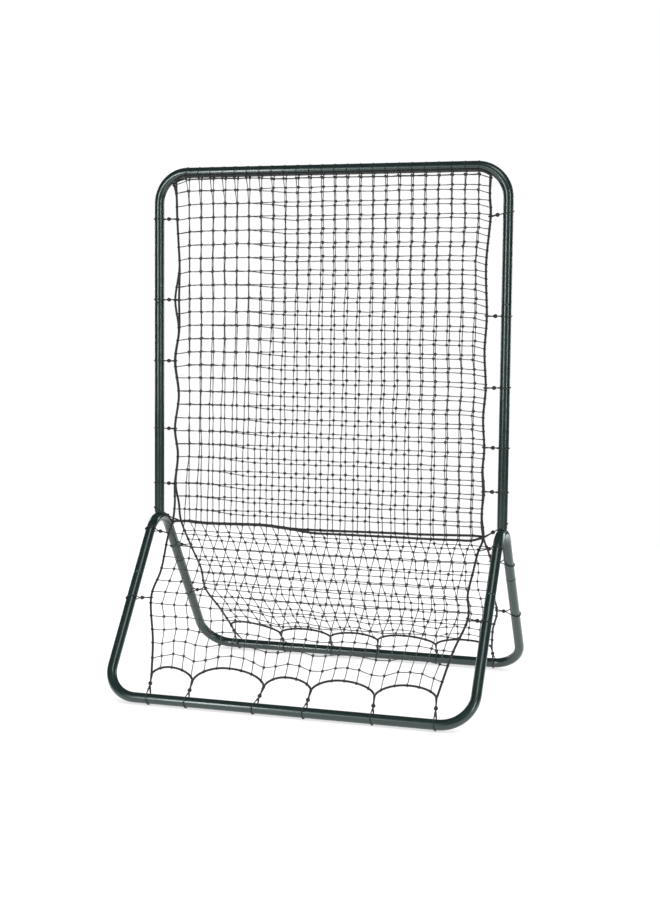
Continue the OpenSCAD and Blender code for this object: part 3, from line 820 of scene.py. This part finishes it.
def bar_turn(mesh, end, x):
    """The turn of twine round the bar and the border cord that holds a column up."""
    ring, count = [], 24
    for y, z, r in ((0, 0, TUBE_R), (end * NEST_Y, -NEST_DROP, BORDER_R)):
        ring += [(y + (r + BAR_TURN_R) * math.cos(a), z + (r + BAR_TURN_R) * math.sin(a))
                 for a in (2 * math.pi * k / count for k in range(count))]
    lean = rng.uniform(-0.0018, 0.0018)
    path = [Vector((x + lean * z / TUBE_R, y, TOP_Z + z)) for y, z in hull(ring)]
    mesh.tube(path, BAR_TURN_R, sides=5, closed=True)


def border_cord(end):
    """The cord round the whole net, its lacing and the turns round the top bar."""
    mesh = Mesh()
    upper, lower = UPPER_GRID[end], LOWER_GRID[end]
    path = (SIDE_ROUTE[end, LEFT] + top_route(end) + SIDE_ROUTE[end, RIGHT][::-1]
            + BOTTOM_ROUTE[end][::-1][1:-1])
    mesh.tube(path, BORDER_R, sides=8, closed=True)
    for i in (0, COLUMNS):
        for line in (upper[i], lower[i]):
            for j in range(1, len(line) - 1):
                lace(mesh, line, j, BORDER_R)
    top, bottom = [column[-1] for column in upper], [column[-1] for column in lower]
    for i in range(1, COLUMNS):
        lace(mesh, top, i, BORDER_R)
        bar_turn(mesh, end, top[i].x)
        lace(mesh, bottom, i, BORDER_R)
    mesh.piece(f"{END_NAME[end]}_border", BORDER, "border_cord", f"{END_NAME[end]}_border_cord")


def junction_cord(end):
    """The cord across the waist, where the upper and the lower net are tied together."""
    mesh = Mesh()
    line = [column[0] for column in UPPER_GRID[end]]
    mesh.tube(curve_through(line, step=0.01), JUNCTION_R, sides=8)
    for i in range(1, COLUMNS):
        lace(mesh, line, i, JUNCTION_R, turns=2.4)
    mesh.piece(f"{END_NAME[end]}_junction", BORDER, "border_cord", f"{END_NAME[end]}_junction_cord")


for end in ENDS:
    border_cord(end)
    junction_cord(end)


# ---------------------------------------------------------------- ties
# The loop round the tube and the one round a border: radius, spread of its two runs, slant
TUBE_LOOP_R, TUBE_SPREAD, TUBE_SLANT = TUBE_R + TIE_R + 0.0001, 0.0011, 0.0016
HOOK_LOOP_R, HOOK_SPREAD, HOOK_SLANT = BORDER_R + TIE_R + 0.0002, 0.0008, 0.0012
# A slack run grows thicker over this length from the tube and from the ball
TUBE_TAPER, BALL_TAPER = 0.008, 0.004
NECK_R = TIE_R * 0.8


def tie_loop(mesh, ball, centre, axis, radius, spread, slant, slack=TIE_R):
    """A loop of elastic: out of the ball, round the cord or tube at a slant, and back into the ball.

    Its two runs leave the ball a spread to each side. Where slack is given, a run is that thick, and
    thinner where the elastic is stretched round the tube or goes into the ball.
    """
    axis = axis.normalized()
    to = centre - ball
    reach = to.length
    to.normalize()
    side = axis.cross(to)
    stretch = 1 / side.length
    side.normalize()
    first = math.pi / 2 + math.asin(min(0.99, (radius - spread) / reach))
    out, back = ([ball + side * (sign * spread * t) + to * (BALL_R * (0.2 + 0.9 * t)) for t in (0.3, 1.0)]
                 for sign in (1, -1))
    arc, count = [], 20
    for k in range(count + 1):
        angle = first - 2 * first * k / count
        arc.append(centre + to * (radius * stretch * math.cos(angle)) + side * (radius * math.sin(angle))
                   + axis * (slant * math.sin(angle)))
    path = curve_through(out + arc + back[::-1], step=0.0028)
    thick = []
    for p in path:
        from_tube = ((p - centre).length - radius * 1.10) / TUBE_TAPER
        from_ball = ((p - ball).length - BALL_R) / BALL_TAPER
        thick.append(TIE_R + (slack - TIE_R) * max(0.0, min(1.0, from_tube, from_ball)))
    mesh.tube(path, thick, sides=7)
    return to


def ball_profile():
    """A ball with a bored hole, eased at both mouths, as (along, radius)."""
    bore, ease, lip, flare, steps = 0.0024, 0.0006, 0.0003, 0.0002, 14
    mouth = math.asin((bore + ease) / BALL_R)
    points = []
    for k in range(steps + 1):
        a = mouth + (math.pi - 2 * mouth) * k / steps
        points.append((-BALL_R * math.cos(a), BALL_R * math.sin(a)))
    depth = BALL_R * math.cos(mouth)
    inner = depth - 0.0010
    return points + [(depth - lip, bore + flare), (inner, bore), (-inner, bore), (lip - depth, bore + flare)]


BALL_PROFILE = ball_profile()


def tie(cords, balls, ball, tube, axis, hooks, slant=TUBE_SLANT, slack=TIE_R):
    """One tie: a ball with a whipped neck, a loop round the tube and one round each border that it holds."""
    to_tube = tie_loop(cords, ball, tube, axis, TUBE_LOOP_R, TUBE_SPREAD, slant, slack)
    for hook in hooks:
        tie_loop(cords, ball, hook, axis, HOOK_LOOP_R, HOOK_SPREAD, HOOK_SLANT)
    neck = ball - to_tube * (BALL_R * 0.98)
    lacing(cords, neck, to_tube, NECK_R, turns=1.4, pitch=0.0012, thickness=NECK_R)
    balls.turned(BALL_PROFILE, ball, to_tube)


def tie_group(name, ties):
    cords, balls = Mesh(), Mesh()
    for t in ties:
        tie(cords, balls, *t)
    cords.piece(f"{name}_elastics", ELASTIC, "elastic_cord", f"{name}_ties")
    balls.piece(f"{name}_tie_balls", BALL, "tie_ball", f"{name}_balls")


# A tie's ball stands off its tube, or at the foot off the border, round which a foot tie passes twice
POST_STAND_OFF = 0.032
LEG_STAND_OFF = {FRONT: 0.032, REAR: 0.037}
FOOT_STAND_OFF = 0.028
FOOT_HOOKS = (-0.0019, 0.0019)
FOOT_SLANT = (0.0008, 0.0026)
BORDER_X = 0.49
WAIST_TIE_Z, WAIST_HOOK_Z = CROWN_TOP + 0.005, WAIST_Z - 0.003


def upright_tie(side, z, hook_z):
    """A tie round a post or a wishbone's stub, which holds both nets' borders."""
    post = Vector((side * HALF_W, 0, z))
    hooks = [nearest(SIDE_ROUTE[end, side], Vector((side * BORDER_X, end * NET_Y, hook_z))) for end in ENDS]
    middle = (hooks[0] + hooks[1]) / 2
    return post + (middle - post).normalized() * POST_STAND_OFF, post, UP, hooks


def leg_tie(end, side, s, t):
    leg = leg_point(side * HALF_W, end, s)
    border_x = between(LOWER_SIDE[end, side], t)
    hook = nearest(SIDE_ROUTE[end, side], panel_point(end, border_x, t, 0))
    axis = leg_point(0, end, 1) - leg_point(0, end, 0)
    return leg + (hook - leg).normalized() * LEG_STAND_OFF[end], leg, axis, [hook]


def foot_tie(end, hook_x, bar_x):
    bar = Vector((bar_x, end * FOOT_Y, FOOT_Z))
    hook = bottom_point(end, hook_x)
    ball = hook.lerp(bar, FOOT_STAND_OFF / (bar - hook).length)
    hooks = [hook + Vector((dx, 0, 0)) for dx in FOOT_HOOKS]
    return ball, bar, ACROSS, hooks, rng.uniform(*FOOT_SLANT), FOOT_TIE_R


for side in SIDES:
    tie_group(f"{SIDE_NAME[side]}_post", [upright_tie(side, *heights) for heights in POST_TIES[side]])
tie_group("waist", [upright_tie(side, WAIST_TIE_Z, WAIST_HOOK_Z) for side in SIDES])
for end in ENDS:
    legs = [leg_tie(end, side, s, t) for side in SIDES for s, t in LEG_TIES[end, side]]
    tie_group(f"{END_NAME[end]}_leg", legs)
    feet = [foot_tie(end, hook_x, bar_x) for hook_x, bar_x, _ in BOTTOM_TIES[end]]
    tie_group(f"{END_NAME[end]}_foot", feet)

# ---------------------------------------------------------------- floor
FLOOR_HALF = 3.2
floor_mesh = bpy.data.meshes.new("floor")
floor_mesh.from_pydata([(x * FLOOR_HALF, y * FLOOR_HALF, 0) for x, y in ((-1, -1), (1, -1), (1, 1), (-1, 1))],
                       [], [(0, 1, 2, 3)])
floor = add_object("floor", floor_mesh)
floor_paint, tree, shader = new_material("floor_paint")
shader.inputs["Base Color"].default_value = (0.40, 0.40, 0.40, 1)
shader.inputs["Roughness"].default_value = 0.9
shader.inputs["Emission Color"].default_value = (1, 1, 1, 1)
shader.inputs["Emission Strength"].default_value = 0.60
floor_mesh.materials.append(floor_paint)

# ---------------------------------------------------------------- light
scene.view_settings.view_transform = "Standard"
scene.view_settings.look = "None"

# A white background for the camera, and a dim room for everything else
world = bpy.data.worlds.new("studio")
world.use_nodes = True
tree = world.node_tree
seen = tree.nodes["Background"]
seen.inputs["Color"].default_value = (1, 1, 1, 1)
seen.inputs["Strength"].default_value = 1.0
room = node(tree, "ShaderNodeBackground", **{"Color": (0.75, 0.80, 0.82, 1), "Strength": 0.07})
rays = node(tree, "ShaderNodeLightPath")
chosen = node(tree, "ShaderNodeMixShader")
tree.links.new(rays.outputs["Is Camera Ray"], chosen.inputs[0])
tree.links.new(room.outputs[0], chosen.inputs[1])
tree.links.new(seen.outputs[0], chosen.inputs[2])
tree.links.new(chosen.outputs[0], tree.nodes["World Output"].inputs["Surface"])
scene.world = world

# Softboxes as (name, place, height that it is aimed at, width and height, watts)
SOFTBOXES = [
    ("left_strip", (-1.9, -4.3, 1.75), 1.2, (0.45, 2.3), 62),
    ("left_wide", (-1.0, -4.6, 1.5), 0.9, (1.3, 2.0), 14),
    ("right_strip", (4.0, -2.9, 1.7), 1.2, (0.45, 2.3), 50),
    ("rear_left_strip", (-4.2, 2.6, 1.7), 1.2, (0.6, 2.2), 30),
    ("rear_right_strip", (3.0, 4.0, 1.7), 1.2, (0.6, 2.2), 30),
    ("overhead", (1.5, -1.9, 3.6), 0.3, (1.6, 1.4), 26),
]
for name, place, aim, size, watts in SOFTBOXES:
    data = bpy.data.lights.new(name, "AREA")
    data.shape = "RECTANGLE"
    data.size, data.size_y = size
    data.energy = watts
    lamp = add_object(name, data)
    lamp.location = place
    lamp.rotation_euler = (Vector((0, 0, aim)) - Vector(place)).to_track_quat("-Z", "Y").to_euler()

# A wide soft sky that leaves no highlight on the tubes
sky_data = bpy.data.lights.new("sky", "SUN")
sky_data.energy = 4.0
sky_data.angle = math.radians(120)
sky = add_object("sky", sky_data)
sky.rotation_euler = (math.radians(-12), math.radians(8), 0)
sky.visible_glossy = False

# ---------------------------------------------------------------- camera
TARGET = Vector((0.0149, 0.0, 0.7306))
DISTANCE = 4.4787
AZIMUTH, ELEVATION, ROLL = math.radians(17.146), math.radians(4.818), math.radians(0.555)

camera_data = bpy.data.cameras.new("camera")
camera_data.sensor_fit = "VERTICAL"
camera_data.sensor_height = 36.0
camera_data.lens = 58.69
camera = add_object("camera", camera_data)
back = Vector((math.sin(AZIMUTH) * math.cos(ELEVATION), -math.cos(AZIMUTH) * math.cos(ELEVATION),
               math.sin(ELEVATION)))
level_right = (-back).cross(UP).normalized()
level_up = back.cross(level_right)
right = level_right * math.cos(ROLL) + level_up * math.sin(ROLL)
up = level_up * math.cos(ROLL) - level_right * math.sin(ROLL)
place = TARGET + back * DISTANCE
camera.matrix_world = Matrix((
    (right.x, up.x, back.x, place.x),
    (right.y, up.y, back.y, place.y),
    (right.z, up.z, back.z, place.z),
    (0, 0, 0, 1),
))
bpy.context.scene.camera = camera
